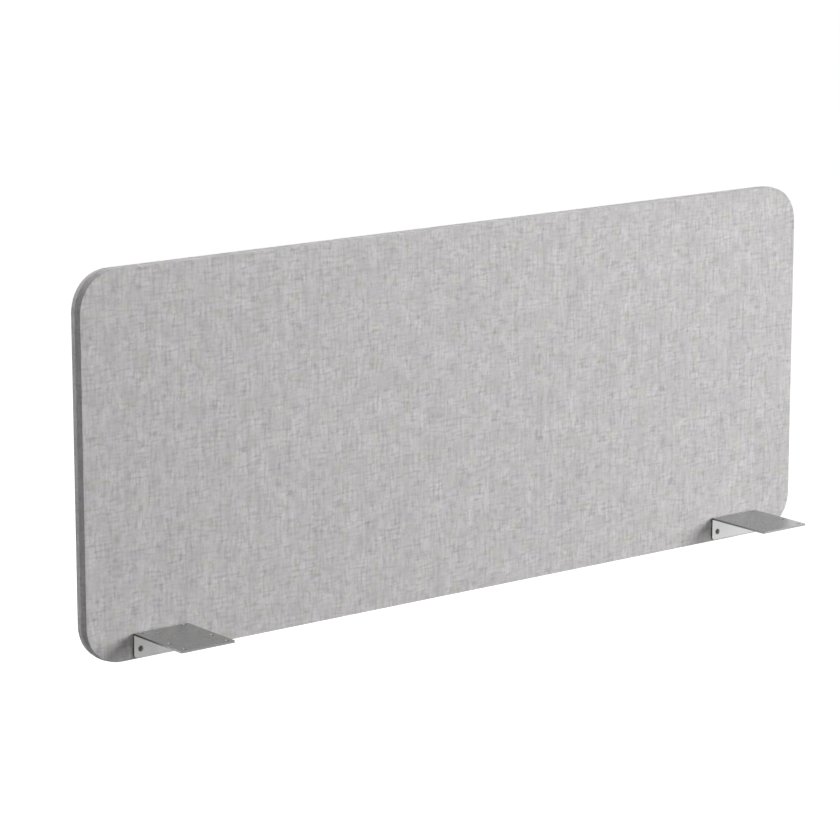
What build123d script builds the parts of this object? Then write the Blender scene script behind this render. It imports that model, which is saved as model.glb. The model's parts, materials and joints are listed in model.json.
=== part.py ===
from build123d import *
import os

# Acoustic divider screen for the edge of a desk.
# X runs along the screen, the user sits on the -Y side and +Z is up.
# The origin is the reference for the desk: the middle of the screen's length, on the
# front face of the panel, level with the top of the two plates that the desk lies on.

# Panel
panel_length = 1400
panel_height = 580
corner_radius = 58
panel_drop = 40  # how far the panel reaches below the top of the plates

# Layers through the panel
fabric_thickness = 1
foam_thickness = 3
frame_thickness = 16

# Fabric covers
face_edge_radius = 3  # where the face turns into the edge
seam_edge_radius = 0.7  # where the edge turns into the seam
tuck_depth = 8  # fabric pressed into the kerf

# Kerf round the frame, and the bead that holds the fabric in it
kerf_depth = 9
bead_thickness = 1.6
bead_width = 5
bead_recess = 2  # how far the bead lies below the outside of the frame
bead_gap = 1  # where the two ends of the bead meet

# Wooden frame
rail_width = 60
stile_width = 60
dowel_radius = 4
dowel_length = 40
dowel_pitch = 22
dowel_chamfer = 1
dowel_play = 0.05  # glue round a dowel
dowel_end_play = 1  # room for glue past each end of a dowel

# Sound absorbing pads and foam sheets
pad_play = 0.3  # between a pad and the frame round it
foam_play = 0.3  # between the foam and the turned edge of the fabric

# Brackets
bracket_inset = 80  # from the end of the panel to the bracket
bracket_width = 95
plate_depth = 125
leg_height = 37.5
sheet_thickness = 3
bend_radius = 1  # inside the fold
plate_corner_radius = 2.5
leg_corner_radius = 5

# Holes for the desk screws, two columns of three
desk_hole_radius = 2.5
column_pitch = 75
front_row_inset = 8  # from the front edge of the plate
middle_row_step = 38  # from the front row to the middle row
back_row_setback = 8  # from the panel to the back row

# Screws that hold a bracket to the panel
leg_screw_pitch = 72
leg_screw_rise = 13  # above the lower edge of the leg
thread_radius = 2
screw_length = 16
head_radius = 3.7
head_rim = 0.2
head_recess = 0.8  # how far the head lies below the face of the leg
head_play = 0.05  # between the head and its seat
thread_play = 0.05  # between the screw and the insert
screw_clearance = 0.3  # round the screw in the leg, the fabric and the foam
drive_across_flats = 2.5
drive_depth = 1.2
point_chamfer = 0.6

# Threaded inserts in the bottom rail
insert_radius = 4
insert_length = 12
insert_groove = 0.4  # between the ribs
rib_height = 1.5
rib_count = 4
insert_play = 0.05
insert_end_play = 1  # room past the end of an insert

overrun = 1  # how far a cut runs past the face that it opens

# Places and sizes that follow from those above
panel_thickness = frame_thickness + 2 * (foam_thickness + fabric_thickness)
mid_depth = panel_thickness / 2
frame_front = fabric_thickness + foam_thickness
frame_back = frame_front + frame_thickness
seam_depth = mid_depth - bead_thickness / 2  # where the front fabric meets the bead
kerf_width = bead_thickness + 2 * fabric_thickness
foam_edge_radius = face_edge_radius - fabric_thickness

panel_middle = panel_height / 2 - panel_drop
frame_length = panel_length - 2 * fabric_thickness
frame_height = panel_height - 2 * fabric_thickness
rail_run = (frame_height - rail_width) / 2  # from the middle of the panel to a rail
stile_run = (frame_length - stile_width) / 2  # from the middle of the panel to an end stile
stile_height = frame_height - 2 * rail_width
bay_width = (frame_length - 3 * stile_width) / 2
bay_run = (stile_width + bay_width) / 2

bracket_run = panel_length / 2 - bracket_inset - bracket_width / 2
screw_level = leg_screw_rise - leg_height
head_face = sheet_thickness - head_recess  # how far the head stands in front of the panel
sink_radius = head_radius + head_play + head_rim + head_recess
leg_hole_radius = thread_radius + screw_clearance


def at_depth(depth):
    """A plane that faces the user, this far behind the front face of the panel."""
    return Plane.XZ.offset(-depth)


def outline(inset, mode=Mode.ADD):
    """The rounded outline of the panel, drawn in by inset on every side."""
    length = panel_length - 2 * inset
    height = panel_height - 2 * inset
    with Locations((0, panel_middle)):
        RectangleRounded(length, height, corner_radius - inset, mode=mode)


def screw_places(bracket_middle):
    """The two screws of a bracket, side by side across its leg."""
    return [
        (bracket_middle + side * leg_screw_pitch / 2, screw_level) for side in (-1, 1)
    ]


def screw_holes(radius, front, back):
    """Holes for all the bracket screws, from one depth to another."""
    with Locations(at_depth(front)):
        for side in (-1, 1):
            with Locations(*screw_places(side * bracket_run)):
                Hole(radius, back - front)


def joint_plane(side):
    """The joint between the stiles and a rail: -1 is the bottom rail, 1 the top rail.
    The plane's normal points out of the rail."""
    level = panel_middle + side * stile_height / 2
    return Plane(origin=(0, mid_depth, level), x_dir=(1, 0, 0), z_dir=(0, 0, -side))


def dowel_places(stile_middle):
    """The two dowels at the end of a stile."""
    return [(stile_middle + side * dowel_pitch / 2, 0) for side in (-1, 1)]


# The space inside a front cover
with BuildPart() as hollow:
    with BuildSketch(at_depth(seam_depth - fabric_thickness)):
        outline(fabric_thickness)
    extrude(amount=seam_depth - 2 * fabric_thickness)
    fillet(hollow.faces().sort_by(Axis.Y)[0].outer_wire().edges(), foam_edge_radius)

# A front cover before its holes: the face, half of the edge and the lip in the kerf
with BuildPart() as cover:
    with BuildSketch(at_depth(seam_depth)):
        outline(0)
    extrude(amount=seam_depth)
    fillet(cover.faces().sort_by(Axis.Y)[0].outer_wire().edges(), face_edge_radius)
    fillet(cover.faces().sort_by(Axis.Y)[-1].outer_wire().edges(), seam_edge_radius)
    add(hollow.part, mode=Mode.SUBTRACT)
    with BuildSketch(at_depth(seam_depth + overrun)):
        outline(fabric_thickness + tuck_depth)
    extrude(amount=2 * overrun + fabric_thickness, mode=Mode.SUBTRACT)

with BuildPart() as front_cover:
    add(cover.part)
    screw_holes(leg_hole_radius, -overrun, fabric_thickness + overrun)

with BuildPart() as rear_cover:
    mirror(cover.part, about=at_depth(mid_depth))

# A front foam sheet before its holes, its front arris rounded as the fabric turns
with BuildPart() as foam:
    with BuildSketch(at_depth(frame_front)):
        outline(fabric_thickness + foam_play)
    extrude(amount=foam_thickness)
    fillet(foam.faces().sort_by(Axis.Y)[0].outer_wire().edges(), foam_edge_radius)

with BuildPart() as front_foam:
    add(foam.part)
    screw_holes(leg_hole_radius, fabric_thickness - overrun, frame_front + overrun)

with BuildPart() as rear_foam:
    mirror(foam.part, about=at_depth(mid_depth))

# The bead that lies in the kerf between the two fabrics, its ends meeting below
with BuildPart() as seam_bead:
    bead_outside = fabric_thickness + bead_recess
    with BuildSketch(at_depth(mid_depth + bead_thickness / 2)):
        outline(bead_outside)
        outline(bead_outside + bead_width, mode=Mode.SUBTRACT)
        with Locations((0, -panel_drop + bead_outside + bead_width / 2)):
            Rectangle(bead_gap, bead_width + overrun, mode=Mode.SUBTRACT)
    extrude(amount=bead_thickness)


def frame_member(width, height, place):
    """A flat piece of the frame, cut to the outline and with the kerf in its outer edge."""
    with BuildPart() as member:
        with BuildSketch(at_depth(frame_back)):
            outline(fabric_thickness)
            with Locations(place):
                Rectangle(width, height, mode=Mode.INTERSECT)
        extrude(amount=frame_thickness)
        with BuildSketch(at_depth(mid_depth + kerf_width / 2)):
            outline(fabric_thickness - overrun)
            outline(fabric_thickness + kerf_depth, mode=Mode.SUBTRACT)
        extrude(amount=kerf_width, mode=Mode.SUBTRACT)
    return member.part


def dowel_holes(stile_middles, plane):
    """Holes for the dowels, cut from a joint into the piece behind the plane."""
    with Locations(plane):
        for stile_middle in stile_middles:
            with Locations(*dowel_places(stile_middle)):
                Hole(dowel_radius + dowel_play, dowel_length / 2 + dowel_end_play)


def rail(side):
    """A rail over the whole length: -1 is the bottom rail and 1 the top rail."""
    with BuildPart() as whole_rail:
        add(frame_member(frame_length, rail_width, (0, panel_middle + side * rail_run)))
        dowel_holes((-stile_run, 0, stile_run), joint_plane(side))
    return whole_rail.part


def stile(middle):
    """A stile between the rails, with dowel holes in both ends."""
    with BuildPart() as whole_stile:
        add(frame_member(stile_width, stile_height, (middle, panel_middle)))
        for side in (-1, 1):
            dowel_holes((middle,), -joint_plane(side))
    return whole_stile.part


with BuildPart() as top_rail:
    add(rail(1))

with BuildPart() as bottom_rail:
    add(rail(-1))
    insert_end = frame_front + insert_length + insert_end_play
    screw_holes(insert_radius + insert_play, frame_front, insert_end)

with BuildPart() as left_stile:
    add(stile(-stile_run))

with BuildPart() as centre_stile:
    add(stile(0))

with BuildPart() as right_stile:
    add(stile(stile_run))

with BuildPart() as frame_dowels:
    for side in (-1, 1):
        with Locations(joint_plane(side)):
            for stile_middle in (-stile_run, 0, stile_run):
                with Locations(*dowel_places(stile_middle)):
                    Cylinder(dowel_radius, dowel_length)
    chamfer(frame_dowels.edges().filter_by(GeomType.CIRCLE), dowel_chamfer)


def infill(side):
    """The sound absorbing pad that fills a bay of the frame."""
    with BuildPart() as pad:
        with BuildSketch(at_depth(frame_back)):
            with Locations((side * bay_run, panel_middle)):
                Rectangle(bay_width - 2 * pad_play, stile_height - 2 * pad_play)
        extrude(amount=frame_thickness)
    return pad.part


with BuildPart() as left_infill:
    add(infill(-1))

with BuildPart() as right_infill:
    add(infill(1))


def bracket(middle):
    """A folded bracket: the plate under the desk, and the leg on the face of the panel."""
    outer_bend = bend_radius + sheet_thickness
    with BuildPart() as folded:
        with BuildSketch(Plane.YZ.offset(middle - bracket_width / 2)):
            with BuildLine():
                outer = FilletPolyline(
                    (0, -leg_height), (0, 0), (-plate_depth, 0), radius=outer_bend
                )
                inner = FilletPolyline(
                    (-sheet_thickness, -leg_height),
                    (-sheet_thickness, -sheet_thickness),
                    (-plate_depth, -sheet_thickness),
                    radius=bend_radius,
                )
                Line(outer @ 0, inner @ 0)
                Line(outer @ 1, inner @ 1)
            make_face()
        extrude(amount=bracket_width)
        leg_corners = folded.edges().filter_by(Axis.Y).group_by(Axis.Z)[0]
        fillet(leg_corners, leg_corner_radius)
        plate_corners = folded.edges().filter_by(Axis.Z).group_by(Axis.Y)[0]
        fillet(plate_corners, plate_corner_radius)
        columns = [middle + side * column_pitch / 2 for side in (-1, 1)]
        front_row = front_row_inset - plate_depth
        rows = [front_row, front_row + middle_row_step, -back_row_setback]
        with Locations(*[(column, row) for column in columns for row in rows]):
            Hole(desk_hole_radius, sheet_thickness)
        with Locations(at_depth(-sheet_thickness)):
            with Locations(*screw_places(middle)):
                CounterSinkHole(leg_hole_radius, sink_radius, sheet_thickness, 90)
    return folded.part


def bracket_screws(middle):
    """The two countersunk screws of a bracket."""
    with BuildPart() as screws:
        with Locations(at_depth(-head_face)):
            with Locations(*screw_places(middle)):
                Cylinder(thread_radius, screw_length, align=(Align.CENTER, Align.CENTER, Align.MAX))
        point = screws.edges().group_by(Axis.Y)[-1]
        chamfer(point, point_chamfer)
        with BuildSketch(at_depth(-head_face)):
            with Locations(*screw_places(middle)):
                Circle(head_radius)
        extrude(amount=-head_rim)
        with BuildSketch(at_depth(head_rim - head_face)):
            with Locations(*screw_places(middle)):
                Circle(head_radius)
        extrude(amount=thread_radius - head_radius, taper=45)
        with BuildSketch(at_depth(-head_face)):
            with Locations(*screw_places(middle)):
                RegularPolygon(drive_across_flats / 2, 6, major_radius=False)
        extrude(amount=-drive_depth, mode=Mode.SUBTRACT)
    return screws.part


def bracket_inserts(middle):
    """The two ribbed inserts that a bracket's screws go into."""
    rib_step = (insert_length - rib_height) / (rib_count - 1)
    with BuildPart() as inserts:
        for place in screw_places(middle):
            with BuildSketch(at_depth(frame_front)):
                with Locations(place):
                    Circle(insert_radius - insert_groove)
            extrude(amount=-insert_length)
            for rib in range(rib_count):
                with BuildSketch(at_depth(frame_front + rib * rib_step)):
                    with Locations(place):
                        Circle(insert_radius)
                extrude(amount=-rib_height)
            with Locations(at_depth(frame_front)):
                with Locations(place):
                    Hole(thread_radius + thread_play, insert_length)
    return inserts.part


with BuildPart() as left_bracket:
    add(bracket(-bracket_run))

with BuildPart() as right_bracket:
    add(bracket(bracket_run))

with BuildPart() as left_bracket_screws:
    add(bracket_screws(-bracket_run))

with BuildPart() as right_bracket_screws:
    add(bracket_screws(bracket_run))

with BuildPart() as left_inserts:
    add(bracket_inserts(-bracket_run))

with BuildPart() as right_inserts:
    add(bracket_inserts(bracket_run))

pieces = {
    "front_cover": front_cover,
    "rear_cover": rear_cover,
    "front_foam": front_foam,
    "rear_foam": rear_foam,
    "seam_bead": seam_bead,
    "top_rail": top_rail,
    "bottom_rail": bottom_rail,
    "left_stile": left_stile,
    "centre_stile": centre_stile,
    "right_stile": right_stile,
    "frame_dowels": frame_dowels,
    "left_infill": left_infill,
    "right_infill": right_infill,
    "left_bracket": left_bracket,
    "right_bracket": right_bracket,
    "left_bracket_screws": left_bracket_screws,
    "right_bracket_screws": right_bracket_screws,
    "left_inserts": left_inserts,
    "right_inserts": right_inserts,
}
os.makedirs("parts", exist_ok=True)
for name, piece in pieces.items():
    piece.part.label = name
    export_step(piece.part, f"parts/{name}.step")
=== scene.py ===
# %% [markdown]
# # An acoustic screen for the edge of a desk
#
# The screen is a flat panel in a stretched cover of grey melange cloth, and it hangs on
# the edge of a desk by two folded steel brackets. The CAD model gives every piece its
# place and size. This lesson dresses it: the cloth is modelled and woven, the steel gets
# its soft silver finish, and a plain studio lights it as in the photograph.
#
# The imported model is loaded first, and stays where it is. All lengths are in metres.

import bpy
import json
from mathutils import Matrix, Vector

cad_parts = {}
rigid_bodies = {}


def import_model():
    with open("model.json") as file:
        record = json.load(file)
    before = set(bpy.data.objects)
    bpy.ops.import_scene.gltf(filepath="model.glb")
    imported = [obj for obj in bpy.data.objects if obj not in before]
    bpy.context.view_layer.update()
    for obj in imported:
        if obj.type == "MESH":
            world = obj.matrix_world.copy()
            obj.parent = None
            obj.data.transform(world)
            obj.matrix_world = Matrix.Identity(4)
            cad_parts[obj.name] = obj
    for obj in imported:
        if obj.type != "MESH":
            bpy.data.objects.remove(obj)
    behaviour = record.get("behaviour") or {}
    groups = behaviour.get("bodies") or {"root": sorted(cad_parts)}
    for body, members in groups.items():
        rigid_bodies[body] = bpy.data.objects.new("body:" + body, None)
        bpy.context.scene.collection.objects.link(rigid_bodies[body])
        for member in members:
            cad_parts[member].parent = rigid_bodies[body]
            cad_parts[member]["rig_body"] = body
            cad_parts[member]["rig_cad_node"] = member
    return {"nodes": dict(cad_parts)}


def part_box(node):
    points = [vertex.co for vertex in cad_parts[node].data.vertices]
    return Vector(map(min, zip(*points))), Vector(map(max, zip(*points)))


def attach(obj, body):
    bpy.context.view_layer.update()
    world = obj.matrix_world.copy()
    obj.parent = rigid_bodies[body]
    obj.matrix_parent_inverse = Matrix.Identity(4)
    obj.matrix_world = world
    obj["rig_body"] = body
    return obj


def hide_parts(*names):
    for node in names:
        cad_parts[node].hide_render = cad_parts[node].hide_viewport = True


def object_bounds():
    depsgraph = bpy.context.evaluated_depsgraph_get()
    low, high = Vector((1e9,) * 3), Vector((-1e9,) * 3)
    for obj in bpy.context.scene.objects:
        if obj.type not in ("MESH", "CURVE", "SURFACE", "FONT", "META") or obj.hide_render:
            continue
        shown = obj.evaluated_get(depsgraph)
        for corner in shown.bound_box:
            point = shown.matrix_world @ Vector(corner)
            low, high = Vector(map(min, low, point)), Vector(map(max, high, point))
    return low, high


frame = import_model()
nodes = frame["nodes"]
print(f"{len(nodes)} CAD pieces")

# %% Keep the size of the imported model
import json
import math

import bmesh
import bpy
from mathutils import Vector

cad_low, cad_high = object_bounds()
cad_size = " x ".join(f"{side:.3f}" for side in cad_high - cad_low)
print(f"CAD box {cad_size} m")

# %% [markdown]
# ## Small tools
#
# Blender's operators act on whatever is selected, so each step starts by picking one
# piece and nothing else. In edit mode, faces are picked in code by where they are and by
# the way they face, as one would click them by hand.


# %% Pick a piece, and work on it in edit mode
def pick(piece):
    """Select this piece and nothing else."""
    bpy.ops.object.select_all(action="DESELECT")
    piece.select_set(True)
    bpy.context.view_layer.objects.active = piece
    return piece


def open_mesh(piece):
    """Start editing the faces of a piece, with all of it selected."""
    pick(piece)
    bpy.ops.object.mode_set(mode="EDIT")
    bpy.ops.mesh.select_mode(type="FACE")
    bpy.ops.mesh.select_all(action="SELECT")


def close_mesh():
    """Leave edit mode."""
    bpy.ops.object.mode_set(mode="OBJECT")


def select_faces(piece, wanted):
    """In edit mode, select only the faces whose middle and direction pass a test."""
    bpy.ops.mesh.select_all(action="DESELECT")
    mesh = bmesh.from_edit_mesh(piece.data)
    for face in mesh.faces:
        if wanted(face.calc_center_median(), face.normal):
            face.select_set(True)
    bmesh.update_edit_mesh(piece.data)


# %% Finish a piece
def apply_modifier(piece, kind, **settings):
    """Add a modifier with these settings and make its result the mesh."""
    pick(piece)
    modifier = piece.modifiers.new(kind.title(), kind)
    for name, value in settings.items():
        setattr(modifier, name, value)
    bpy.ops.object.modifier_apply(modifier=modifier.name)


def shade_smooth(piece, crease):
    """Shade a piece smooth, apart from the edges that turn by more than this angle."""
    pick(piece)
    bpy.ops.object.shade_smooth_by_angle(angle=crease)


def report(piece):
    """Print the size of a piece."""
    size = ", ".join(f"{side * 1000:.1f}" for side in piece.dimensions)
    print(f"{piece.name}: {len(piece.data.polygons)} faces, {size} mm")
    return piece


# %% [markdown]
# ## The cut of the cloth
#
# The real cover is two pieces of cloth. Each lies over one face of a thin foam sheet,
# turns round the edge and goes down into a saw cut that runs round the wooden frame at
# half its thickness. So each piece of cloth has a face, half of the edge, and a lip in
# the cut. The stretch draws the cloth down a little at the outer corner of the foam,
# which leaves the seam standing as a low ridge round the edge, 0.8 mm proud. Each half
# of the edge leans away from it, and so in the photograph one half is darker than the
# other. Round a corner the pull comes from two sides, and draws the edge in a little
# more.
#
# It could be made from the CAD solid, but that has one huge flat face, which can't bend.
# Here it grows from a plane, as by hand: the four corners are rounded, and then the
# outline is inset again and again, each time a little further in and further forward,
# down the profile of the edge. Straight cuts then turn the face into a net of small
# squares, so that it can swell like cloth.

# %% Sizes that the covers share
front_low, front_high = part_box("front_cover")
panel_length = front_high.x - front_low.x
panel_height = front_high.z - front_low.z
panel_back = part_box("rear_cover")[1].y
panel_middle = (front_low.z + front_high.z) / 2
mid_depth = panel_back / 2
corner_radius = 0.058
corner_segments = 16
core_length = panel_length / 2 - corner_radius  # where the straight sides end
core_height = panel_height / 2 - corner_radius
cloth_thickness = 0.0005
face_sink = 0.00018  # how deep the cloth lies before the foam pushes it out
seam_depth = 0.0114  # of the crest of the seam, behind the face
cloth_rise = 0.0008  # how far the seam stands out past the outline
corner_draw = 0.0005  # how much further the stretch draws the edge in at a corner
print(f"panel {panel_length:.3f} x {panel_height:.3f} x {panel_back:.3f} m")


# %% The rows of the profile, each as (inset from the crest of the seam, depth)
def arris_rows(inset, depth, radius, steps=4):
    """A quarter turn from the edge on to the face."""
    rows = []
    for step in range(1, steps + 1):
        turn = math.radians(90) * step / steps
        across = radius * (1 - math.cos(turn))
        rows.append((inset + across, depth - radius * math.sin(turn)))
    return rows


def from_outline(rows):
    """The same rows with their insets counted from the outline of the CAD panel."""
    return [(inset - cloth_rise, depth) for inset, depth in rows]


arris_radius = 0.0007
arris_inset = 0.00072
arris_depth = face_sink + arris_radius
flank_rows = [(0.00012, 0.0100), (0.00034, 0.0072), (0.00055, 0.0042)]
flank_rows += [(arris_inset, arris_depth)]
turn_rows = arris_rows(arris_inset, arris_depth, arris_radius)
face_rows = [(inset, face_sink) for inset in (0.004, 0.009, 0.016, 0.024)]
crest_rows = [(0.00005, 0.0117), (0.0002, 0.01186), (0.0006, 0.01192), (0.0014, 0.0119)]
tuck_rows = [(0.0022, 0.0117), (0.0029, front_high.y), (0.009, front_high.y)]
cover_rows = from_outline(flank_rows + turn_rows + face_rows)
lip_rows = from_outline(crest_rows + tuck_rows)
print(f"{len(cover_rows) + len(lip_rows)} rows across the edge of a cover")


# %% How far a point lies inside the outline, and which way is out
def outward(x, z):
    """(unit direction from the nearest point of the straight core, distance to it)"""
    core_x = max(-core_length, min(core_length, x))
    core_z = panel_middle + max(-core_height, min(core_height, z - panel_middle))
    away = Vector((x - core_x, z - core_z))
    return away.normalized(), away.length


def inset_at(x, z):
    """The distance in from the outline."""
    _, beyond = outward(x, z)
    if beyond > 0:
        return corner_radius - beyond
    spare = min(core_length - abs(x), core_height - abs(z - panel_middle))
    return corner_radius + spare


def smooth_step(share):
    """From 0 to 1 with soft ends."""
    share = max(0.0, min(1.0, share))
    return share * share * (3 - 2 * share)


# %% Grow a panel from a plane
facing_back = 0.99  # how squarely a face must look back to be the one at the back


def inset_rows(rows, inset, depth, forward):
    """Inset the selected face row by row. forward is 1 towards the user, -1 away."""
    for next_inset, next_depth in rows:
        bpy.ops.mesh.inset(
            thickness=next_inset - inset, depth=forward * (depth - next_depth)
        )
        inset, depth = next_inset, next_depth


def rounded_panel(name, start, front_rows, back_rows, has_back):
    """A panel with the screen's rounded outline. It starts from the (inset, depth) of
    start, goes forward along front_rows and back along back_rows."""
    inset, depth = start
    length, height = panel_length - 2 * inset, panel_height - 2 * inset
    bpy.ops.object.select_all(action="DESELECT")
    bpy.ops.mesh.primitive_plane_add(
        size=1, location=(0, depth, panel_middle), rotation=(math.radians(90), 0, 0)
    )
    piece = bpy.context.object
    piece.name = piece.data.name = name
    piece.scale = (length, height, 1)
    bpy.ops.object.transform_apply(location=True, rotation=True, scale=True)
    open_mesh(piece)
    bpy.ops.mesh.bevel(
        offset=corner_radius - inset, segments=corner_segments, affect="VERTICES"
    )
    bpy.ops.mesh.select_all(action="SELECT")
    inset_rows(front_rows, inset, depth, 1)
    bpy.ops.mesh.select_mode(type="EDGE")
    bpy.ops.mesh.select_all(action="DESELECT")
    bpy.ops.mesh.select_non_manifold()
    bpy.ops.mesh.edge_face_add()
    bpy.ops.mesh.select_all(action="SELECT")
    bpy.ops.mesh.normals_make_consistent(inside=False)
    bpy.ops.mesh.select_mode(type="FACE")
    select_faces(piece, lambda middle, normal: normal.y > facing_back)
    inset_rows(back_rows, inset, depth, -1)
    if not has_back:
        bpy.ops.mesh.delete(type="FACE")
    close_mesh()
    return piece


# %% Cut the panel into squares, and draw in its corners
def cut_grid(piece, columns, rows):
    """Straight cuts through the part of the panel between its rounded corners."""
    open_mesh(piece)
    for column in range(1, columns):
        place = -core_length + 2 * core_length * column / columns
        bpy.ops.mesh.select_all(action="SELECT")
        bpy.ops.mesh.bisect(plane_co=(place, 0, 0), plane_no=(1, 0, 0))
    for row in range(1, rows):
        place = panel_middle - core_height + 2 * core_height * row / rows
        bpy.ops.mesh.select_all(action="SELECT")
        bpy.ops.mesh.bisect(plane_co=(0, 0, place), plane_no=(0, 0, 1))
    close_mesh()


def draw_in_corners(piece, shallow, deep):
    """Pull the edge in where it turns a rounded corner: by all of corner_draw at the
    depth shallow and nearer the face, and less and less down to the depth deep."""
    for point in piece.data.vertices:
        direction, _ = outward(point.co.x, point.co.z)
        turn = smooth_step(4 * abs(direction.x * direction.y))
        share = max(0.0, min(1.0, (deep - point.co.y) / (deep - shallow)))
        pull = direction * corner_draw * turn * share
        point.co -= Vector((pull.x, 0, pull.y))


cloth_start = (-cloth_rise, seam_depth)
front_cloth = rounded_panel("front_cloth", cloth_start, cover_rows, lip_rows, False)
draw_in_corners(front_cloth, arris_depth, seam_depth)
cut_grid(front_cloth, columns=64, rows=23)
report(front_cloth)

# %% [markdown]
# ## The foam pushes the cloth out
#
# Stretched cloth isn't dead flat. The foam under it is squeezed at the edges and free in
# the middle, so the face stands proud by about a fifth of a millimetre and eases down
# towards the edge. That could be drawn by hand, but a short cloth simulation gives it
# freely: the edge is pinned, a light pressure stands for the foam, and gravity is off.
# How far a point may move is capped, and the cap grows from nothing at the edge to the
# full sink some way in, because foam can't swell further than its own surface.


# %% Swell the face of a cover
def share_of_swell(inset):
    """From 0 where the face begins to 1 well inside it."""
    begin, full = 0.003, 0.028
    return smooth_step((inset - begin) / (full - begin))


def swell(piece, pressure=4, moments=20):
    """Cloth simulation under pressure, with its edge pinned and its travel capped."""
    rest = [point.co.copy() for point in piece.data.vertices]
    travel = [face_sink * share_of_swell(inset_at(co.x, co.z)) for co in rest]
    pinned = piece.vertex_groups.new(name="pinned")
    held = [n for n, co in enumerate(rest) if travel[n] == 0 or co.y > arris_depth]
    pinned.add(held, 1.0, "REPLACE")
    pick(piece)
    bpy.ops.object.modifier_add(type="CLOTH")
    cloth = piece.modifiers[-1]
    cloth.settings.vertex_group_mass = pinned.name
    cloth.settings.use_pressure = True
    cloth.settings.uniform_pressure_force = pressure
    cloth.settings.effector_weights.gravity = 0
    cloth.point_cache.frame_end = moments
    for moment in range(1, moments + 1):
        bpy.context.scene.frame_set(moment)
    bpy.ops.object.modifier_apply(modifier=cloth.name)
    bpy.context.scene.frame_set(1)
    reached = 0
    for point, start, limit in zip(piece.data.vertices, rest, travel):
        move = max(0.0, min(limit, start.y - point.co.y))
        point.co = start - Vector((0, move, 0))
        reached = max(reached, move)
    piece.vertex_groups.clear()
    print(f"{piece.name} swelled by {reached * 1000:.2f} mm at most")


swell(front_cloth)


# %% [markdown]
# ## Thickness, and the pattern's flat place
#
# A solidify modifier gives the cloth its thickness, inwards, after one subdivision has
# rounded its small corners. The weave has to follow the cloth round the edge, where a
# pattern in plain object coordinates would smear, so each point keeps its place on the
# flat cut as a UV: on the face that is simply its place, and past the face it lies
# further out by the depth that the cloth has gone down the edge.

# %% Give the cloth its thickness
apply_modifier(front_cloth, "SUBSURF", levels=1, render_levels=1)
apply_modifier(
    front_cloth, "SOLIDIFY", thickness=cloth_thickness, offset=-1, use_rim=True
)
report(front_cloth)


# %% Remember the flat cut
def flat_place(co, depth):
    """Where a point of the cover lies on the flat piece of cloth."""
    direction, beyond = outward(co.x, co.z)
    if beyond == 0:
        return co.x, co.z
    return co.x + direction.x * depth, co.z + direction.y * depth


def lay_flat_cut(piece, shift):
    """Write the flat place of every point, moved by shift, to the UV map flat_cut."""
    layer = piece.data.uv_layers.new(name="flat_cut")
    for loop in piece.data.loops:
        co = piece.data.vertices[loop.vertex_index].co
        across, up = flat_place(co, min(co.y, panel_back - co.y))
        layer.data[loop.index].uv = (across + shift, up + shift)


# %% [markdown]
# The rear cover is the same piece of cloth the other way round. A copy is turned over by
# mirroring it, which also turns its faces inside out, so they are flipped back. Its
# weave is moved along, because it is cut from another stretch of the same roll.


# %% Mirror the rear cover
def rear_twin(piece, name):
    """A mirrored copy of a piece, as far behind the middle as the piece is in front."""
    pick(piece)
    bpy.ops.object.duplicate()
    twin = bpy.context.object
    twin.name = twin.data.name = name
    for point in twin.data.vertices:
        point.co.y = 2 * mid_depth - point.co.y
    open_mesh(twin)
    bpy.ops.mesh.flip_normals()
    close_mesh()
    return twin


rear_cloth = rear_twin(front_cloth, "rear_cloth")
along_roll = 3.1
soft_crease = math.radians(50)
for piece, node, foam, shift in (
    (front_cloth, "front_cover", "front_foam_sheet", 0),
    (rear_cloth, "rear_cover", "rear_foam_sheet", along_roll),
):
    lay_flat_cut(piece, shift)
    shade_smooth(piece, soft_crease)
    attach(piece, "root")
    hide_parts(node)
    report(piece)

# %% [markdown]
# ## The foam sheets
#
# Under each cover lies a thin foam sheet. It can't be seen, but it is part of the real
# build, and it fills the space between cloth and frame. It grows from a plane by the
# same steps as the cover, with a back, and with its outer corner rounded as the cloth
# turns. The rear sheet is its mirror image.

# %% Make the two foam sheets
foam_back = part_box("front_foam")[1].y  # where it lies on the frame
foam_inset = 0.0012
foam_start = (foam_inset, 0.0034)
foam_rows = arris_rows(foam_inset, depth=0.0030, radius=0.0018)
foam_rows += [(0.010, 0.0010), (0.026, 0.0007)]
back_rows = [(0.0015, foam_back - 0.0002), (0.0019, foam_back)]
front_foam = rounded_panel("front_foam_sheet", foam_start, foam_rows, back_rows, True)
draw_in_corners(front_foam, foam_rows[0][1], foam_back)
cut_grid(front_foam, columns=32, rows=12)
rear_foam = rear_twin(front_foam, "rear_foam_sheet")
for piece, node in ((front_foam, "front_foam"), (rear_foam, "rear_foam")):
    shade_smooth(piece, soft_crease)
    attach(piece, "root")
    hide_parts(node)
    report(piece)

# %% [markdown]
# ## The absorbing pads
#
# The two bays of the frame hold pads of pressed fibre, which take the sound. A pad is
# cut from a thick mat, so its edges are slightly torn and its faces lumpy. Each starts
# as a block at the size of its bay. Its edges are bevelled, it is divided into small
# squares, and its points are moved a little at random, with a fixed seed, and smoothed.

# %% Make a pad for each bay
pad_lump = 0.0012  # how far a point moves at random
pad_edge = 0.002


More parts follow.
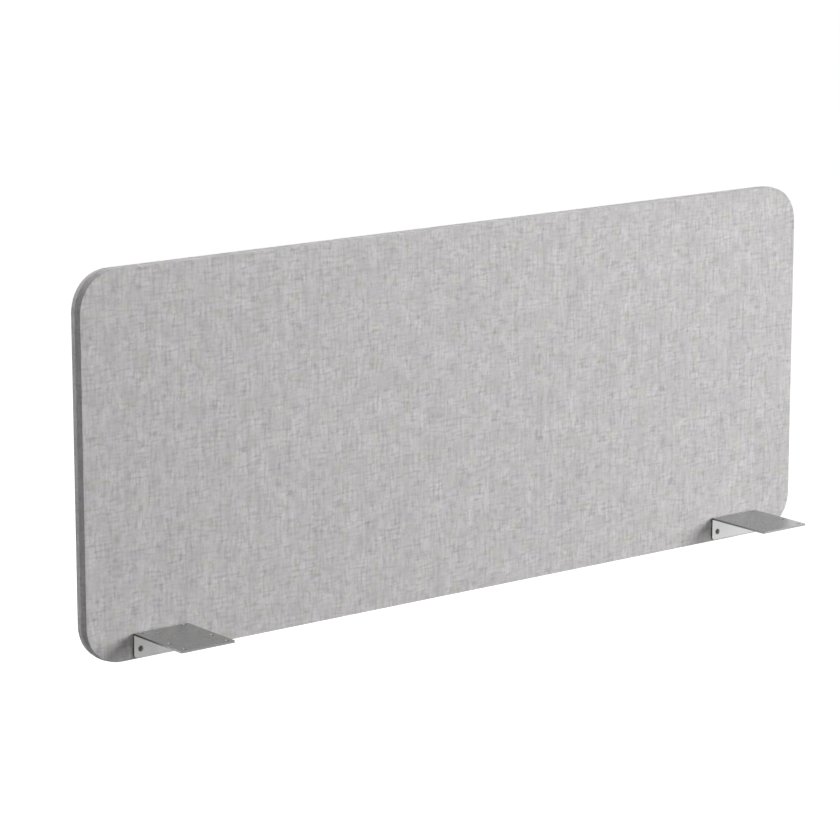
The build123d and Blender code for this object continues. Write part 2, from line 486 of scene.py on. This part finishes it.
def fibre_pad(name, node, seed):
    """A lumpy pad that fills the space of a CAD pad."""
    low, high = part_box(node)
    bpy.ops.object.select_all(action="DESELECT")
    bpy.ops.mesh.primitive_cube_add(size=1, location=(low + high) / 2)
    piece = bpy.context.object
    piece.name = piece.data.name = name
    piece.scale = high - low - Vector((pad_lump, pad_lump, pad_lump))
    bpy.ops.object.transform_apply(location=True, rotation=True, scale=True)
    open_mesh(piece)
    bpy.ops.mesh.bevel(offset=pad_edge, segments=2, affect="EDGES")
    bpy.ops.mesh.select_all(action="SELECT")
    bpy.ops.mesh.subdivide(number_cuts=24)
    bpy.ops.transform.vertex_random(offset=pad_lump, seed=seed)
    bpy.ops.mesh.vertices_smooth(factor=0.5, repeat=2)
    close_mesh()
    shade_smooth(piece, soft_crease)
    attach(piece, "root")
    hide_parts(node)
    return report(piece)


left_pad = fibre_pad("left_fibre_pad", "left_infill", 4)
right_pad = fibre_pad("right_fibre_pad", "right_infill", 9)

# %% [markdown]
# ## Brackets and screws
#
# The brackets are folded from 3 mm sheet and then coated. The CAD shape is exact, but
# its edges are perfectly sharp, and no real edge is: a coated edge is round by a few
# tenths of a millimetre and catches a thin line of light. The CAD mesh comes as loose
# triangles, so a copy of it is merged and its flat faces are joined first. Then a bevel
# goes round every sharp edge. The holes for the desk screws are deburred on top with a
# larger bit, which leaves a chamfer that shows as a light ring. The screws get the same
# bevel as the brackets, but finer.
#
# The faces across the thickness of the sheet, its cut edges and the chamfers round the
# holes, are marked in an attribute, and the material paints shade on them: a darker colour.

# %% Sizes of the edges
coat_radius = 0.0002  # of an edge of the sheet, under its coat
screw_radius = 0.00008  # of an edge of a screw
rim_chamfer = 0.0008  # round the upper rim of a hole
rim_border = 0.004  # no hole lies nearer than this to the outline of its plate
rim_edge = 0.002  # the edges round a hole are shorter than this
rim_reach = 0.00001  # an edge this near to the top of the plate lies on it
fold_depth = 0.004  # from the outside of the fold to where plate and leg are flat
flat_share = 0.8  # a face that looks less than this out of the sheet is a cut edge
merge_distance = 0.000002
flat_angle = math.radians(0.5)  # faces that meet flatter than this become one
sharp_angle = math.radians(30)  # edges sharper than this are rounded
metal_crease = math.radians(35)
print(f"edges rounded by {coat_radius * 1000} mm, holes chamfered by {rim_chamfer * 1000} mm")


# %% Copy a CAD piece and soften its edges
def chamfer_rims(piece, low, high):
    """Chamfer the upper rims of the holes in a plate, which are its only short edges
    on top that lie well inside its outline."""
    bpy.ops.mesh.select_mode(type="EDGE")
    bpy.ops.mesh.select_all(action="DESELECT")
    mesh = bmesh.from_edit_mesh(piece.data)
    for edge in mesh.edges:
        middle = (edge.verts[0].co + edge.verts[1].co) / 2
        inside = low.x + rim_border < middle.x < high.x - rim_border
        inside = inside and low.y + rim_border < middle.y < high.y - rim_border
        on_top = middle.z > high.z - rim_reach
        if inside and on_top and edge.calc_length() < rim_edge:
            edge.select_set(True)
    bmesh.update_edit_mesh(piece.data)
    bpy.ops.mesh.bevel(offset=rim_chamfer, segments=1)
    bpy.ops.mesh.select_mode(type="FACE")


def softened_copy(name, node, radius, has_holes):
    """A copy of a CAD node, merged, with its sharp edges rounded."""
    pick(nodes[node])
    bpy.ops.object.duplicate()
    piece = bpy.context.object
    piece.parent = None
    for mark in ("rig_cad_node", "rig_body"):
        del piece[mark]
    piece.name = piece.data.name = name
    open_mesh(piece)
    bpy.ops.mesh.remove_doubles(threshold=merge_distance)
    bpy.ops.mesh.customdata_custom_splitnormals_clear()
    bpy.ops.mesh.dissolve_limited(angle_limit=flat_angle)
    if has_holes:
        chamfer_rims(piece, *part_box(node))
    close_mesh()
    apply_modifier(
        piece,
        "BEVEL",
        width=radius,
        segments=2,
        limit_method="ANGLE",
        angle_limit=sharp_angle,
    )
    shade_smooth(piece, metal_crease)
    apply_modifier(piece, "WEIGHTED_NORMAL", keep_sharp=True)
    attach(piece, "root")
    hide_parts(node)
    return report(piece)


def mark_cut_edges(piece, corner):
    """Give the attribute shaded_cut_edge to the faces that lie across the thickness of the
    sheet. corner is the top back corner of the bracket."""
    layer = piece.data.attributes.new("shaded_cut_edge", "FLOAT", "FACE")
    for face in piece.data.polygons:
        if face.center.y < corner.y - fold_depth:
            out_of_sheet = abs(face.normal.z)
        elif face.center.z < corner.z - fold_depth:
            out_of_sheet = abs(face.normal.y)
        else:
            out_of_sheet = math.hypot(face.normal.y, face.normal.z)
        # the faces marked here are painted darker in the material, as painted shade
        layer.data[face.index].value = 1.0 if out_of_sheet < flat_share else 0.0


brackets, screws = [], []
for side in ("left", "right"):
    node = f"{side}_bracket"
    bracket = softened_copy(f"{side}_folded_bracket", node, coat_radius, True)
    mark_cut_edges(bracket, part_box(node)[1])
    brackets.append(bracket)
    pair = softened_copy(f"{side}_leg_screws", f"{node}_screws", screw_radius, False)
    screws.append(pair)

# %% [markdown]
# ## Shader tools
#
# A finish is a small network of nodes. An effect that several finishes share is a node
# group with named inputs, so that it is built once. The groups here only give masks,
# values and heights, and the shader itself stays in each material.


# %% Add nodes
def feed(tree, value, socket):
    """Join another node's output to a socket, or set the socket to a plain value."""
    if isinstance(value, bpy.types.NodeSocket):
        tree.links.new(value, socket)
    elif value is not None:
        socket.default_value = value


def put(tree, kind, inputs=(), out=0, **settings):
    """Add a node. inputs is a list in the order of its sockets, or a dict by name."""
    node = tree.nodes.new(kind)
    for name, value in settings.items():
        setattr(node, name, value)
    named = inputs.items() if isinstance(inputs, dict) else enumerate(inputs)
    for key, value in named:
        feed(tree, value, node.inputs[key])
    return node.outputs[out]


def calc(tree, operation, *values):
    """Add a Math node."""
    return put(tree, "ShaderNodeMath", values, operation=operation)


def between(tree, value, low, high, result_low=0.0, result_high=1.0):
    """Stretch a value from one range to another, and stop at its ends."""
    sockets = (value, low, high, result_low, result_high)
    return put(tree, "ShaderNodeMapRange", sockets)


def mix(tree, factor, first, second, blend="MIX"):
    """Mix two colours by a factor. Of a Mix node's sockets, 6 and 7 are its colours."""
    node = tree.nodes.new("ShaderNodeMix")
    node.data_type, node.blend_type = "RGBA", blend
    for number, value in ((0, factor), (6, first), (7, second)):
        feed(tree, value, node.inputs[number])
    return node.outputs[2]


# %% Noise at any size
def scaled(tree, place, across, up, shift=0.0):
    """The place divided by a length across and a length up. The shift only moves the
    pattern, by another share along each axis, so that no two patterns match."""
    lengths = put(tree, "ShaderNodeCombineXYZ", (across, up, across))
    divided = put(
        tree, "ShaderNodeVectorMath", (place, lengths), operation="DIVIDE"
    )
    offset = (shift, shift * 0.7, shift * 0.3)
    return put(tree, "ShaderNodeVectorMath", (divided, offset), operation="ADD")


def noise(tree, place, detail, flat=True):
    """Smooth noise of size 1, from 0 to 1."""
    sockets = {"Vector": place, "Scale": 1.0, "Detail": detail}
    size = "2D" if flat else "3D"
    return put(tree, "ShaderNodeTexNoise", sockets, noise_dimensions=size)


def even_noise(tree, place, size, detail):
    """Noise with lumps of one size in every direction."""
    return noise(tree, scaled(tree, place, size, size), detail, False)


# %% Make node groups
def new_group(name, inputs, outputs):
    """A shader node group. inputs gives each socket's start value by its name."""
    tree = bpy.data.node_groups.new(name, "ShaderNodeTree")
    for label, value in inputs.items():
        kind = "NodeSocketVector" if value is None else "NodeSocketFloat"
        socket = tree.interface.new_socket(label, in_out="INPUT", socket_type=kind)
        if value is not None:
            socket.default_value = value
    for label in outputs:
        tree.interface.new_socket(label, in_out="OUTPUT", socket_type="NodeSocketFloat")
    entry = tree.nodes.new("NodeGroupInput")
    return tree, entry.outputs


def give(tree, **results):
    """Join the results to the group's outputs, in order."""
    leave = tree.nodes.new("NodeGroupOutput")
    for socket, result in zip(leave.inputs, results.values()):
        tree.links.new(result, socket)
    print(f"group {tree.name}: {len(tree.nodes)} nodes")


# %% [markdown]
# ## The melange weave
#
# Seen close, the cloth is a plain weave of yarns about a millimetre thick. Seen from a
# step away the single yarns blur, and what shows is that no yarn is even: each runs
# lighter and darker along its length, so the cloth has short upright dashes from the
# warp, fainter level dashes from the weft, and a fine even grain. All three are strong
# in some patches and calm in others. Under them lie broad upright streaks,
# where many warp yarns run dark together, and faint clouds.
#
# An image could show all that, but it would repeat. The group builds it in the same
# order from noise that is squeezed along one direction. Its height is the plain weave
# itself: two rows of half waves that take turns to lie on top.

# %% Sizes and strengths of the weave
weave_start = {
    "Place": None,
    "Yarn pitch": 0.0012,
    "Dash width": 0.0045,
    "Dash length": 0.022,
    "Warp": 0.14,
    "Weft": 0.126,
    "Grain": 0.168,
    "Streak": 0.18,
    "Cloud": 0.12,
}
patch_size = 0.03
calmest, busiest = 0.6, 1.4
cloud_size = 0.034
hue_width, hue_height = 0.03, 0.022
mean_tone = 0.42
weave, given = new_group("melange_weave", weave_start, ("Tone", "Hue", "Height"))
place, width, length = given["Place"], given["Dash width"], given["Dash length"]
print(f"dashes of {weave_start['Dash width'] * 1000} x {weave_start['Dash length'] * 1000} mm")


# %% The dashes, and their busy and calm patches
def swing(tree, value, strength):
    """Noise about zero, at this strength."""
    return calc(tree, "MULTIPLY", calc(tree, "SUBTRACT", value, 0.5), strength)


warp = noise(weave, scaled(weave, place, width, length), 1)
weft = noise(weave, scaled(weave, place, length, width, 31.7), 1)
grain = noise(weave, scaled(weave, place, width, width, 83.3), 1)
warp_part = swing(weave, between(weave, warp, 0.25, 0.58), given["Warp"])
weft_part = swing(weave, between(weave, weft, 0.25, 0.55), given["Weft"])
fine = calc(weave, "ADD", warp_part, weft_part)
fine = calc(weave, "ADD", fine, swing(weave, grain, given["Grain"]))
patch = noise(weave, scaled(weave, place, patch_size, patch_size, 71.3), 1)
fine = calc(weave, "MULTIPLY", fine, between(weave, patch, 0.3, 0.7, calmest, busiest))
print(f"dashes: {len(weave.nodes)} nodes")

# %% The streaks and clouds under them
streak_width = calc(weave, "MULTIPLY", width, 2)
streak_run = calc(weave, "MULTIPLY", length, 8)
streak = noise(weave, scaled(weave, place, streak_width, streak_run, 57.1), 2)
cloud = noise(weave, scaled(weave, place, cloud_size, cloud_size, 11.9), 2)
streak_part = swing(weave, streak, given["Streak"])
cloud_part = swing(weave, cloud, given["Cloud"])
change = calc(weave, "ADD", fine, calc(weave, "ADD", streak_part, cloud_part))
tone = calc(weave, "ADD", change, mean_tone)
hue = noise(weave, scaled(weave, place, hue_width, hue_height, 5.3), 1)
print(f"with streaks and clouds: {len(weave.nodes)} nodes")


# %% The height of a plain weave
def half_wave(tree, number):
    """A row of rounded bumps, one for each whole number."""
    turn = calc(tree, "MULTIPLY", number, math.pi)
    return calc(tree, "ABSOLUTE", calc(tree, "SINE", turn))


def yarn_height(tree, own_bump, crossing_bump):
    """A yarn that rises over the crossing ones and is half as high between them."""
    share = calc(tree, "MULTIPLY_ADD", crossing_bump, 0.5, 0.5)
    return calc(tree, "MULTIPLY", own_bump, share)


yarns = scaled(weave, place, given["Yarn pitch"], given["Yarn pitch"])
yarn_x = put(weave, "ShaderNodeSeparateXYZ", (yarns,))
yarn_y = put(weave, "ShaderNodeSeparateXYZ", (yarns,), out=1)
row_sum = calc(weave, "ADD", calc(weave, "FLOOR", yarn_x), calc(weave, "FLOOR", yarn_y))
warp_on_top = calc(weave, "PINGPONG", row_sum, 1)
warp_bump, weft_bump = half_wave(weave, yarn_x), half_wave(weave, yarn_y)
warp_height = yarn_height(weave, warp_bump, weft_bump)
weft_height = yarn_height(weave, weft_bump, warp_bump)
heights = {"Factor": warp_on_top, "A": weft_height, "B": warp_height}
height = put(weave, "ShaderNodeMix", heights)
give(weave, Tone=tone, Hue=hue, Height=height)

# %% [markdown]
# ## Other grains
#
# Coated metal has a fine speckle from the flakes in the coat, and broad faint smudges in
# its gloss. Wood has long fibres and slow bands across them. Foam and pressed fibre have
# cells and clumps. One group serves each kind, at a size that the material sets.

# %% Build the groups for metal, wood and foam
coat_start = {"Place": None, "Speck": 0.0006, "Smudge": 0.03}
coat, given = new_group("coat_grain", coat_start, ("Speck", "Smudge"))
speck = even_noise(coat, given["Place"], given["Speck"], 2)
smudge = even_noise(coat, given["Place"], given["Smudge"], 3)
give(coat, Speck=speck, Smudge=smudge)

band_run, fibre_run = 0.4, 0.05  # how long a band and a fibre are
wood_start = {"Place": None, "Band": 0.009, "Fibre": 0.0006}
wood, given = new_group("wood_grain", wood_start, ("Band", "Fibre"))
band = noise(wood, scaled(wood, given["Place"], band_run, given["Band"]), 3, False)
fibre = noise(wood, scaled(wood, given["Place"], fibre_run, given["Fibre"]), 2, False)
give(wood, Band=band, Fibre=fibre)

cells_start = {"Place": None, "Cell": 0.001}
cells_in_clump = 12
cells, given = new_group("open_cells", cells_start, ("Cell", "Clump"))
cell_place = scaled(cells, given["Place"], given["Cell"], given["Cell"])
cell = put(cells, "ShaderNodeTexVoronoi", {"Vector": cell_place, "Scale": 1.0})
clump_size = calc(cells, "MULTIPLY", given["Cell"], cells_in_clump)
clump = even_noise(cells, given["Place"], clump_size, 3)
give(cells, Cell=cell, Clump=clump)


# %% [markdown]
# ## Materials
#
# Each material mixes two or three colours by the masks of its group, and lets the same
# masks change its gloss and its bump. What is the same all over is set on the shader.


# %% Helpers for materials
def new_material(name, **plain):
    """A material and its Principled shader, with the plain values set on its sockets."""
    material = bpy.data.materials.new(name)
    material.use_nodes = True
    tree = material.node_tree
    shader = tree.nodes["Principled BSDF"]
    for label, value in plain.items():
        shader.inputs[label.replace("_", " ")].default_value = value
    return material, tree, shader


def object_place(tree):
    """The place of a point on its piece, in metres."""
    return put(tree, "ShaderNodeTexCoord", out=3)


def use_group(tree, group, place, **values):
    """Place a group, fed with a place, and return its outputs."""
    node = tree.nodes.new("ShaderNodeGroup")
    node.node_tree = group
    tree.links.new(place, node.inputs["Place"])
    for label, value in values.items():
        node.inputs[label.replace("_", " ")].default_value = value
    return node.outputs


def bump(tree, shader, height, distance, strength=1.0):
    """Raise the surface by a height, at most this distance."""
    sockets = {"Height": height, "Distance": distance, "Strength": strength}
    tree.links.new(put(tree, "ShaderNodeBump", sockets), shader.inputs["Normal"])


def grey(level, warmth=0.0):
    """A grey of this lightness, a little warmer or cooler."""
    return (level * (1 + warmth), level, level * (1 - warmth), 1.0)


def dress(material, *pieces):
    """Give pieces this material alone."""
    for piece in pieces:
        piece.data.materials.clear()
        piece.data.materials.append(material)
    print(f"{material.name}: {', '.join(piece.name for piece in pieces)}")


# %% [markdown]
# The cloth is mixed from a dark and a light grey by the tone of the weave. A few patches
# are faintly beige. The gaps between yarns get painted shade and their tops a little
# painted light. The cloth is matt, with a little sheen from its loose fibres.

# %% Melange cloth
dark_yarn, light_yarn = (0.225, 0.219, 0.223, 1), (0.795, 0.777, 0.788, 1)
beige_tint = (0.985, 1.0, 0.925, 1)
cloth, tree, shader = new_material(
    "melange_cloth", Roughness=0.92, Specular_IOR_Level=0.2, Sheen_Weight=0.15
)
flat = put(tree, "ShaderNodeUVMap", uv_map="flat_cut")
yarn = use_group(tree, weave, flat)
yarn_colour = mix(tree, yarn["Tone"], dark_yarn, light_yarn)
beige_share = between(tree, yarn["Hue"], 0.62, 0.72, 0.0, 0.9)
beige = mix(tree, 1.0, yarn_colour, beige_tint, "MULTIPLY")
tinted = mix(tree, beige_share, yarn_colour, beige)
# painted shade in the gaps between yarns, and a little painted light on their tops
painted_crevice_shade = between(tree, yarn["Height"], 0.0, 1.0, 0.86, 1.08)
shaded = mix(tree, 1.0, tinted, painted_crevice_shade, "MULTIPLY")
tree.links.new(shaded, shader.inputs["Base Color"])
bump(tree, shader, yarn["Height"], 0.0003, 0.6)
dress(cloth, front_cloth, rear_cloth)

# %% [markdown]
# The brackets have a silver powder coat. It mirrors light softly, so it is a metal of
# middling roughness, with a speck from its flakes. On the cut edges of the sheet and the
# chamfers round the holes, which the attribute from before marks, shade is painted.

# %% Silver coat on the brackets
dark_flake, light_flake = (0.40, 0.405, 0.40, 1), (0.45, 0.455, 0.45, 1)
silver, tree, shader = new_material("silver_coat", Metallic=1.0)
coat_mask = use_group(tree, coat, object_place(tree))
speck = between(tree, coat_mask["Speck"], 0.3, 0.7)
silver_colour = mix(tree, speck, dark_flake, light_flake)
# painted shade: the marked edges and chamfers get a darker colour
shaded_cut_edge = put(tree, "ShaderNodeAttribute", out=2, attribute_name="shaded_cut_edge")
painted_edge_shade = mix(tree, 1.0, silver_colour, grey(0.62), "MULTIPLY")
coat_with_edge_shade = mix(tree, shaded_cut_edge, silver_colour, painted_edge_shade)
tree.links.new(coat_with_edge_shade, shader.inputs["Base Color"])
gloss = between(tree, coat_mask["Smudge"], 0.3, 0.7, 0.26, 0.31)
tree.links.new(gloss, shader.inputs["Roughness"])
bump(tree, shader, coat_mask["Speck"], 0.00001)
dress(silver, *brackets)

# %% [markdown]
# The screws are blackened, the inserts turned from brass, and the bead is a strip of
# dark plastic. All three are even materials with a fine grain, so one function makes
# them: one mask of the grain changes the colour and the other the gloss.


# %% Screws, inserts and bead
def grained_material(name, grain, colours, gloss, height, tint="Smudge", **plain):
    """The tint mask mixes the two colours, and the other one moves the gloss. grain
    gives the sizes of both masks, and height how far the specks stand up."""
    material, tree, shader = new_material(name, **plain)
    masks = use_group(tree, coat, object_place(tree), **grain)
    tree.links.new(mix(tree, masks[tint], *colours), shader.inputs["Base Color"])
    other = "Speck" if tint == "Smudge" else "Smudge"
    roughness = between(tree, masks[other], 0.3, 0.7, *gloss)
    tree.links.new(roughness, shader.inputs["Roughness"])
    bump(tree, shader, masks["Speck"], height)
    return material


dark_steel = grained_material(
    "dark_steel",
    {"Speck": 0.0003, "Smudge": 0.004},
    colours=(grey(0.05), grey(0.12)),
    gloss=(0.35, 0.5),
    height=0.00001,
    tint="Speck",
    Metallic=1.0,
)
dress(dark_steel, *screws)
brass = grained_material(
    "turned_brass",
    {"Speck": 0.0004, "Smudge": 0.006},
    colours=((0.62, 0.42, 0.16, 1), (0.78, 0.57, 0.26, 1)),
    gloss=(0.25, 0.4),
    height=0.00001,
    Metallic=1.0,
)
dress(brass, nodes["left_inserts"], nodes["right_inserts"])
bead = grained_material(
    "bead_plastic",
    {"Speck": 0.0008, "Smudge": 0.02},
    colours=(grey(0.05), grey(0.09)),
    gloss=(0.5, 0.7),
    height=0.00002,
    Specular_IOR_Level=0.4,
)
dress(bead, nodes["seam_bead"])

# %% [markdown]
# The frame is pine and its dowels are beech. The grain runs along each piece, so the
# place is turned by a quarter for a piece that stands upright, and its depth is left
# out, so that the same lines run over the face and round the edge.


# %% Wood of the frame
def wood_material(name, turn, light, dark):
    """Wood with its fibres along X, or along another way that turn brings there."""
    material, tree, shader = new_material(name, Specular_IOR_Level=0.3)
    sockets = {"Vector": object_place(tree), "Rotation": (0, turn, 0)}
    turned = put(tree, "ShaderNodeMapping", sockets)
    x_part = put(tree, "ShaderNodeSeparateXYZ", (turned,))
    z_part = put(tree, "ShaderNodeSeparateXYZ", (turned,), out=2)
    along = put(tree, "ShaderNodeCombineXYZ", (x_part, z_part, 0.0))
    mask = use_group(tree, wood, along)
    colour = mix(tree, between(tree, mask["Band"], 0.35, 0.65), light, dark)
    fibres = mix(tree, 0.35, colour, mask["Fibre"], "OVERLAY")
    tree.links.new(fibres, shader.inputs["Base Color"])
    gloss = between(tree, mask["Fibre"], 0.3, 0.7, 0.55, 0.75)
    tree.links.new(gloss, shader.inputs["Roughness"])
    bump(tree, shader, mask["Fibre"], 0.0001)
    return material


upright = math.radians(90)
pine_light, pine_dark = (0.66, 0.47, 0.27, 1), (0.50, 0.31, 0.15, 1)
rail_wood = wood_material("rail_wood", 0, pine_light, pine_dark)
dress(rail_wood, nodes["top_rail"], nodes["bottom_rail"])
stile_wood = wood_material("stile_wood", upright, pine_light, pine_dark)
dress(stile_wood, nodes["left_stile"], nodes["centre_stile"], nodes["right_stile"])
beech_light, beech_dark = (0.60, 0.39, 0.23, 1), (0.48, 0.28, 0.15, 1)
peg_wood = wood_material("peg_wood", upright, beech_light, beech_dark)
dress(peg_wood, nodes["frame_dowels"])

# %% [markdown]
# Foam and pressed fibre are full of small holes. The group's cells give those, and its
# clumps the slow change of grey between denser and looser places.


# %% Foam and pressed fibre
def cell_material(name, light, dark, cell):
    """A matt stuff with holes the size of cell."""
    material, tree, shader = new_material(name, Roughness=0.95, Specular_IOR_Level=0.1)
    mask = use_group(tree, cells, object_place(tree), Cell=cell)
    clumps = mix(tree, mask["Clump"], light, dark)
    pores = mix(tree, between(tree, mask["Cell"], 0.2, 0.9, 0.0, 0.5), clumps, dark)
    tree.links.new(pores, shader.inputs["Base Color"])
    bump(tree, shader, mask["Cell"], cell * 0.3)
    return material


white_foam = cell_material("white_foam", grey(0.82, 0.02), grey(0.60, 0.03), 0.0009)
dress(white_foam, front_foam, rear_foam)
grey_fibre = cell_material("grey_fibre", grey(0.42), grey(0.20), 0.0016)
dress(grey_fibre, left_pad, right_pad)

# %% [markdown]
# ## Floor and background
#
# The screen is held by a desk, so the floor lies a desk's height below it. In the
# photograph the screen stands in plain white with no floor in sight. The floor is a
# real matt surface that takes the object's shadow, and it glows a little where the
# camera or a reflection sees it, more so further away, until it meets the white
# background with no line between them. The left bracket mirrors a spot of floor in
# front of the screen, and is darker than the right one, so that spot glows least.

# %% Lay the floor
floor_level = -0.73
floor_size = 120
near_glow, near_reach, far_reach = 0.60, 1.5, 5.0
mirrored_spot = (0.3, -2.3, 0)
spot_glow, spot_reach, spot_end = 0.1, 1.0, 3.0
pure_white = (1, 1, 1, 1)


def seen_ray(tree):
    """1 for what the camera, a reflection or glass sees, and 0 for what only lights."""
    path = tree.nodes.new("ShaderNodeLightPath").outputs
    seen = calc(tree, "MAXIMUM", path["Is Camera Ray"], path["Is Glossy Ray"])
    return calc(tree, "MAXIMUM", seen, path["Is Transmission Ray"])


bpy.ops.object.select_all(action="DESELECT")
bpy.ops.mesh.primitive_plane_add(size=floor_size, location=(0, 0, floor_level))
floor = bpy.context.object
floor.name = "studio_floor"
bpy.ops.object.transform_apply(location=True, rotation=True, scale=True)
floor_paint, tree, shader = new_material(
    "floor_paint", Roughness=0.9, Specular_IOR_Level=0.0, Emission_Color=pure_white
)
place = object_place(tree)
plaster = even_noise(tree, place, 0.8, 3)
tree.links.new(mix(tree, plaster, grey(0.49), grey(0.55)), shader.inputs["Base Color"])
distance = put(tree, "ShaderNodeVectorMath", (place,), out=1, operation="LENGTH")
glow = between(tree, distance, near_reach, far_reach, near_glow, 1.0)
beside = put(
    tree, "ShaderNodeVectorMath", (place, mirrored_spot), out=1, operation="DISTANCE"
)
dimmed = between(tree, beside, spot_reach, spot_end, spot_glow, 1.0)
glow = calc(tree, "MINIMUM", glow, dimmed)
strength = calc(tree, "MULTIPLY", seen_ray(tree), glow)
tree.links.new(strength, shader.inputs["Emission Strength"])
dress(floor_paint, floor)

# %% Light the room
ambient_level = 0.02
world = bpy.data.worlds.new("studio")
bpy.context.scene.world = world
world.use_nodes = True
tree = world.node_tree
ambient = tree.nodes["Background"]
ambient.inputs["Color"].default_value = pure_white
ambient.inputs["Strength"].default_value = ambient_level
white = tree.nodes.new("ShaderNodeBackground")
white.inputs["Color"].default_value = pure_white
white.inputs["Strength"].default_value = 1.0
sockets = (seen_ray(tree), ambient.outputs[0], white.outputs[0])
sky = put(tree, "ShaderNodeMixShader", sockets)
tree.links.new(sky, tree.nodes["World Output"].inputs["Surface"])
print(f"white where it is seen, and {ambient_level} of white as light")

# %% [markdown]
# ## Lamps
#
# The face grows lighter from left to right, and the brackets throw soft shadows to the
# left, so the main light is a large softbox in front on the right. A second softbox
# hangs above, since the top edge is as light as the face. The left edge gets only a
# little light, and its rear half more of it, so a third one stands behind on the left.


# %% Hang the softboxes
def softbox(name, place, width, height, power):
    """A lamp of this size and power in watts, turned to the middle of the panel."""
    lamp = bpy.data.lights.new(name, "AREA")
    lamp.shape, lamp.size, lamp.size_y, lamp.energy = "RECTANGLE", width, height, power
    holder = bpy.data.objects.new(name, lamp)
    bpy.context.scene.collection.objects.link(holder)
    holder.location = place
    facing = Vector((0, 0, panel_middle)) - Vector(place)
    holder.rotation_euler = facing.to_track_quat("-Z", "Y").to_euler()
    print(f"{name}: {facing.length:.2f} m from the panel")


softbox("key_softbox", (3.5, -5.0, 1.75), width=1.7, height=2.4, power=388)
softbox("top_softbox", (0.2, -0.4, 2.6), width=2.4, height=1.2, power=29)
softbox("rear_softbox", (-1.45, 3.8, 1.6), width=1.2, height=1.2, power=196)

# %% [markdown]
# ## Camera
#
# The place of the camera was worked out from the outline of the panel, its rounded
# corners and the corners of both plates. It stands to the left and a little above, and
# far away, so the lens is long.

# %% Set up the camera
looks_down, looks_right = 12.207, 38.082  # degrees
camera_data = bpy.data.cameras.new("camera")
camera_data.sensor_width = 36
camera_data.lens = 151.5
camera = bpy.data.objects.new("camera", camera_data)
bpy.context.scene.collection.objects.link(camera)
camera.location = (-3.360, -4.176, 1.395)
camera.rotation_euler = (math.radians(90 - looks_down), 0, math.radians(-looks_right))
bpy.context.scene.camera = camera
bpy.context.scene.view_settings.view_transform = "Standard"
print(f"camera {camera.location.length:.2f} m away, lens {camera_data.lens:.1f} mm")
